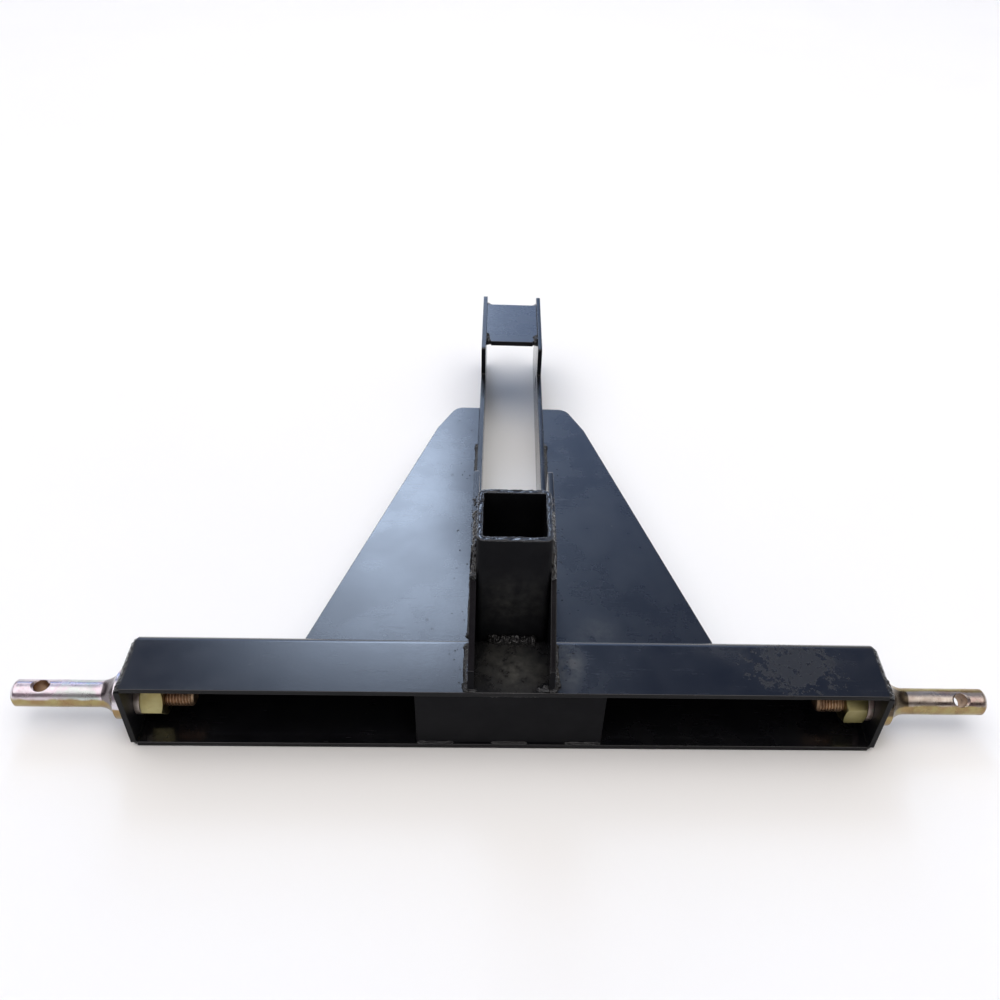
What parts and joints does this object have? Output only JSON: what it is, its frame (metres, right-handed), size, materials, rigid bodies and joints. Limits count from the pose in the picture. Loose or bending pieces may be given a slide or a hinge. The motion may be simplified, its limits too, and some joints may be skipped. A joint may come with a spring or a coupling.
{
  "type": "three_point_receiver_hitch",
  "caption": "Black welded three-point crossbar with A-frame mast, lower link pins and a square receiver tube, lying on its front face.",
  "frame": {"origin": "Middle of the part's outline in X and Y, on the ground plane under it (Z = 0).", "axes": "X runs along the crossbar, +Y runs up the mast away from the crossbar, +Z runs out of the receiver's mouth. The part lies as in the picture."},
  "size_m": [0.825, 0.582, 0.19],
  "materials": {
    "black_enamel": "gloss",
    "weld_enamel": "gloss",
    "zinc_steel": "satin",
    "zinc_nut": "satin"
  },
  "bodies": {
    "root": {"crossbar_channel": "black_enamel", "end_plate_left": "black_enamel", "end_plate_right": "black_enamel", "closing_plate": "black_enamel", "mast_plate_left": "black_enamel", "mast_plate_right": "black_enamel", "receiver_tube": "black_enamel", "head_plate": "black_enamel", "wing_plate_left": "black_enamel", "wing_plate_right": "black_enamel", "hitch_pin_left": "zinc_steel", "hitch_pin_right": "zinc_steel", "lock_washer_left": "zinc_steel", "lock_washer_right": "zinc_steel", "hex_nut_left": "zinc_nut", "hex_nut_right": "zinc_nut", "end_welds_left": "weld_enamel", "end_welds_right": "weld_enamel", "closing_plate_welds": "weld_enamel", "mast_foot_welds_left": "weld_enamel", "mast_foot_welds_right": "weld_enamel", "receiver_base_weld": "weld_enamel", "receiver_side_welds_left": "weld_enamel", "receiver_side_welds_right": "weld_enamel", "wing_welds_left": "weld_enamel", "wing_welds_right": "weld_enamel", "head_plate_welds": "weld_enamel"}
  },
  "joints": []
}
